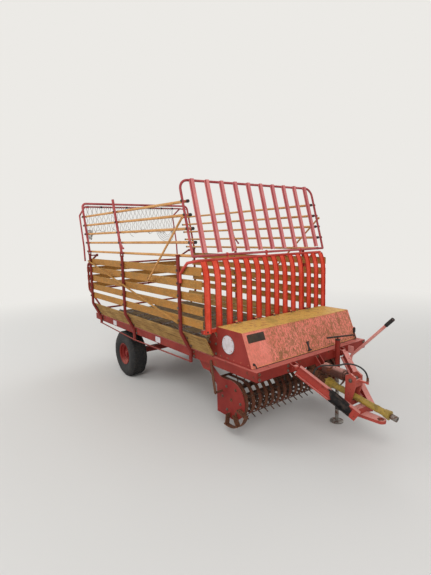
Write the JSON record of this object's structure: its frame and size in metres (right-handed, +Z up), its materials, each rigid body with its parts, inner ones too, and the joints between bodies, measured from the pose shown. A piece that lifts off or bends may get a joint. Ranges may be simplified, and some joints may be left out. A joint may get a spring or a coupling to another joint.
{
  "type": "forage wagon",
  "caption": "Self-loading forage wagon with slatted sides, folding hay extension, pickup reel, tailgate, hinged drawbar, parking jack and one axle.",
  "frame": {"origin": "middle of the wagon's outer box, on the ground it stands on", "axes": "+X forward to the drawbar, +Y to the wagon's left side, +Z up"},
  "size_m": [5.3858, 2.2386, 2.765],
  "materials": {
    "red_paint": "faded gloss",
    "faded_red_paint": "matt",
    "ochre_paint": "matt",
    "orange_paint": "satin",
    "weathered_board": "weathered",
    "floor_board": "weathered",
    "tyre_rubber": "matt",
    "wheel_red": "satin",
    "bare_steel": "worn",
    "rusty_iron": "rusty",
    "spring_steel": "worn",
    "yellow_guard": "matt",
    "black_rubber": "matt",
    "white_plate": "matt"
  },
  "bodies": {
    "wagon": {"chassis_frame": "red_paint", "cross_members": "red_paint", "floor_bearers": "red_paint", "axle": "red_paint", "frame_brackets": "red_paint", "load_floor": "floor_board", "scraper_chains_left": "bare_steel", "scraper_chains_right": "bare_steel", "floor_shafts": "bare_steel", "side_posts_left": "red_paint", "side_posts_right": "red_paint", "side_slats_left": "ochre_paint", "side_slats_right": "ochre_paint", "side_boards_left": "weathered_board", "side_boards_right": "weathered_board", "side_braces": "ochre_paint", "front_hoop": "red_paint", "front_grille": "orange_paint", "front_cheeks": "red_paint", "top_pipes": "ochre_paint", "feed_channel": "bare_steel", "gearbox": "rusty_iron", "jack_tube": "red_paint", "brake_lever": "red_paint", "blank_plates": "white_plate"},
    "wheel_left": {"rim_left": "wheel_red", "tyre_left": "tyre_rubber"},
    "wheel_right": {"rim_right": "wheel_red", "tyre_right": "tyre_rubber"},
    "pickup": {"pickup_sides": "red_paint", "stripper_bands": "bare_steel", "pickup_skids": "rusty_iron", "pickup_straps": "rusty_iron"},
    "reel": {"pickup_reel": "spring_steel"},
    "rotor": {"feed_rotor": "red_paint"},
    "hood": {"hood": "red_paint", "hood_disc": "white_plate"},
    "drawbar": {"drawbar": "red_paint", "drawbar_hose": "black_rubber"},
    "barrel": {"cylinder_barrel": "rusty_iron"},
    "rod": {"cylinder_rod": "bare_steel"},
    "drive_shaft": {"pto_guard": "yellow_guard", "pto_yoke": "bare_steel"},
    "jack_leg": {"jack_leg": "bare_steel"},
    "tailgate": {"tailgate": "red_paint", "tailgate_slats": "ochre_paint"},
    "ext_front": {"ext_front_frame": "faded_red_paint", "ext_front_slats": "faded_red_paint"},
    "ext_middle": {"ext_mid_posts": "faded_red_paint"},
    "ext_rear": {"ext_rear_hoop": "faded_red_paint"},
    "rear_bow": {"rear_bow": "faded_red_paint"},
    "stays": {"ext_stays": "ochre_paint"},
    "pipes_1": {"ext_pipes_1": "ochre_paint"},
    "pipes_2": {"ext_pipes_2": "ochre_paint"},
    "pipes_3": {"ext_pipes_3": "ochre_paint"},
    "pipes_4": {"ext_pipes_4": "ochre_paint"}
  },
  "joints": [
    {"name": "wheel_left_turn", "type": "hinge", "parent": "wagon", "child": "wheel_left", "pos_m": [-1.24308, 0.783, 0.355], "axis": [0, 1, 0], "continuous": true},
    {"name": "wheel_right_turn", "type": "hinge", "parent": "wagon", "child": "wheel_right", "pos_m": [-1.24308, -0.783, 0.355], "axis": [0, 1, 0], "continuous": true},
    {"name": "pickup_lift", "type": "hinge", "parent": "wagon", "child": "pickup", "pos_m": [0.88792, 0, 0.69], "axis": [0, -1, 0], "range_deg": [0, 15]},
    {"name": "reel_turn", "type": "hinge", "parent": "pickup", "child": "reel", "pos_m": [1.28792, 0, 0.4], "axis": [0, 1, 0], "continuous": true},
    {"name": "rotor_turn", "type": "hinge", "parent": "wagon", "child": "rotor", "pos_m": [1.35792, 0, 0.985], "axis": [0, 1, 0], "continuous": true},
    {"name": "hood_open", "type": "hinge", "parent": "wagon", "child": "hood", "pos_m": [1.13092, 0, 1.196], "axis": [0, -1, 0], "range_deg": [0, 65]},
    {"name": "drawbar_lift", "type": "hinge", "parent": "wagon", "child": "drawbar", "pos_m": [1.82292, 0, 0.8], "axis": [0, -1, 0], "range_deg": [0, 25]},
    {"name": "barrel_swing", "type": "hinge", "parent": "wagon", "child": "barrel", "pos_m": [1.84792, 0, 0.73], "axis": [0, -1, 0], "range_deg": [0, 26.9]},
    {"name": "rod_slide", "type": "slide", "parent": "barrel", "child": "rod", "axis": [0.9971, 0, -0.0767], "range_m": [0, 0.0336]},
    {"name": "drive_shaft_swing", "type": "hinge", "parent": "wagon", "child": "drive_shaft", "pos_m": [1.89192, 0, 0.59], "axis": [0, -1, 0], "range_deg": [0, 31]},
    {"name": "jack_raise", "type": "slide", "parent": "wagon", "child": "jack_leg", "axis": [0, 0, 1], "range_m": [0, 0.25]},
    {"name": "tailgate_open", "type": "hinge", "parent": "wagon", "child": "tailgate", "pos_m": [-2.05808, 0, 1.878], "axis": [0, 1, 0], "range_deg": [0, 75]},
    {"name": "extension_fold", "type": "hinge", "parent": "wagon", "child": "ext_front", "pos_m": [1.01892, 0, 1.94], "axis": [0, 1, 0], "range_deg": [0, 90]},
    {"name": "middle_posts_fold", "type": "hinge", "parent": "wagon", "child": "ext_middle", "pos_m": [-0.79208, 0, 1.94], "axis": [0, 1, 0], "range_deg": [0, 91]},
    {"name": "rear_hoop_fold", "type": "hinge", "parent": "wagon", "child": "ext_rear", "pos_m": [-2.05808, 0, 1.94], "axis": [0, 1, 0], "range_deg": [0, 91]},
    {"name": "rear_bow_swing", "type": "hinge", "parent": "ext_rear", "child": "rear_bow", "pos_m": [-2.25502, 0, 2.675], "axis": [0, 1, 0], "range_deg": [0, 30]},
    {"name": "stays_swing", "type": "hinge", "parent": "ext_front", "child": "stays", "pos_m": [0.9104, 0, 2.345], "axis": [0, 1, 0], "range_deg": [-91, 0]},
    {"name": "pipes_1_swing", "type": "hinge", "parent": "ext_front", "child": "pipes_1", "pos_m": [0.98007, 0, 2.085], "axis": [0, 1, 0], "range_deg": [-91, 0]},
    {"name": "pipes_2_swing", "type": "hinge", "parent": "ext_front", "child": "pipes_2", "pos_m": [0.94121, 0, 2.23], "axis": [0, 1, 0], "range_deg": [-91, 0]},
    {"name": "pipes_3_swing", "type": "hinge", "parent": "ext_front", "child": "pipes_3", "pos_m": [0.90236, 0, 2.375], "axis": [0, 1, 0], "range_deg": [-91, 0]},
    {"name": "pipes_4_swing", "type": "hinge", "parent": "ext_front", "child": "pipes_4", "pos_m": [0.86351, 0, 2.52], "axis": [0, 1, 0], "range_deg": [-91, 0]}
  ],
  "couplings": [
    {"joint": "barrel_swing", "follows": "drawbar_lift", "ratio": 1.0349},
    {"joint": "rod_slide", "follows": "drawbar_lift", "m_per_rad": 0.07236},
    {"joint": "drive_shaft_swing", "follows": "drawbar_lift", "ratio": 1.2},
    {"joint": "middle_posts_fold", "follows": "extension_fold", "ratio": 1},
    {"joint": "rear_hoop_fold", "follows": "extension_fold", "ratio": 1},
    {"joint": "stays_swing", "follows": "extension_fold", "ratio": -1},
    {"joint": "pipes_1_swing", "follows": "extension_fold", "ratio": -1},
    {"joint": "pipes_2_swing", "follows": "extension_fold", "ratio": -1},
    {"joint": "pipes_3_swing", "follows": "extension_fold", "ratio": -1},
    {"joint": "pipes_4_swing", "follows": "extension_fold", "ratio": -1}
  ]
}
